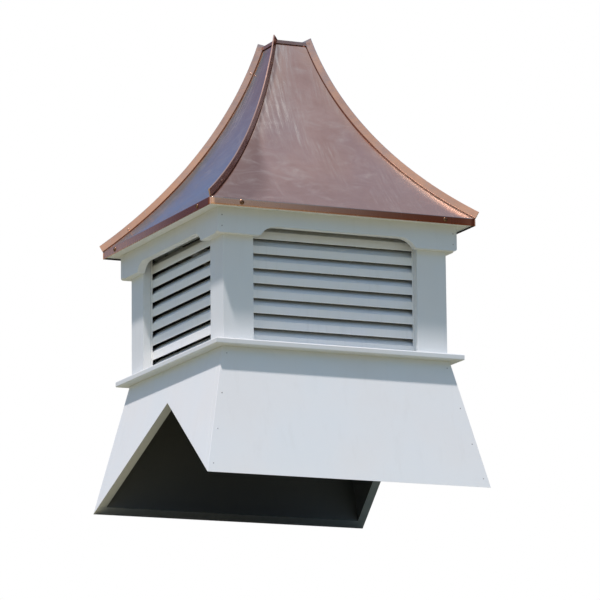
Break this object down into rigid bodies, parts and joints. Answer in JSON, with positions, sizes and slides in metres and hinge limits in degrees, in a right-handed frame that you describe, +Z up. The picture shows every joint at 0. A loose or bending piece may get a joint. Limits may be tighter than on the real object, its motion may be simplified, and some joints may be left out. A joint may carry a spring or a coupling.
{
  "type": "roof cupola",
  "caption": "Square louvred roof cupola: flared white skirt cut for a pitched roof, ledge, louvred body with arched frieze and a concave copper roof with standing hip seams.",
  "frame": {"origin": "middle of the base, level with the lowest edges of the skirt", "axes": "+Z up, +X along the ridge of the roof below, -Y towards the front, the downhill side"},
  "size_m": [0.6096, 0.6096, 0.9585],
  "materials": {
    "white_board": "smooth white cellular PVC board, satin",
    "copper_sheet": "mill copper sheet, dulled and lightly streaked by handling and weather"
  },
  "bodies": {
    "root": {"skirt_front": "white_board", "skirt_right": "white_board", "skirt_back": "white_board", "skirt_left": "white_board", "ledge_front": "white_board", "ledge_right": "white_board", "ledge_back": "white_board", "ledge_left": "white_board", "post_front_left": "white_board", "post_front_right": "white_board", "post_back_right": "white_board", "post_back_left": "white_board", "stiles_front": "white_board", "stiles_right": "white_board", "stiles_back": "white_board", "stiles_left": "white_board", "header_front": "white_board", "header_right": "white_board", "header_back": "white_board", "header_left": "white_board", "blades_front": "white_board", "blades_right": "white_board", "blades_back": "white_board", "blades_left": "white_board", "frieze_front": "white_board", "frieze_right": "white_board", "frieze_back": "white_board", "frieze_left": "white_board", "soffit_front": "white_board", "soffit_right": "white_board", "soffit_back": "white_board", "soffit_left": "white_board", "roof_front": "copper_sheet", "roof_right": "copper_sheet", "roof_back": "copper_sheet", "roof_left": "copper_sheet", "seam_front_left": "copper_sheet", "seam_front_right": "copper_sheet", "seam_back_right": "copper_sheet", "seam_back_left": "copper_sheet", "top_cap": "copper_sheet"}
  },
  "joints": []
}
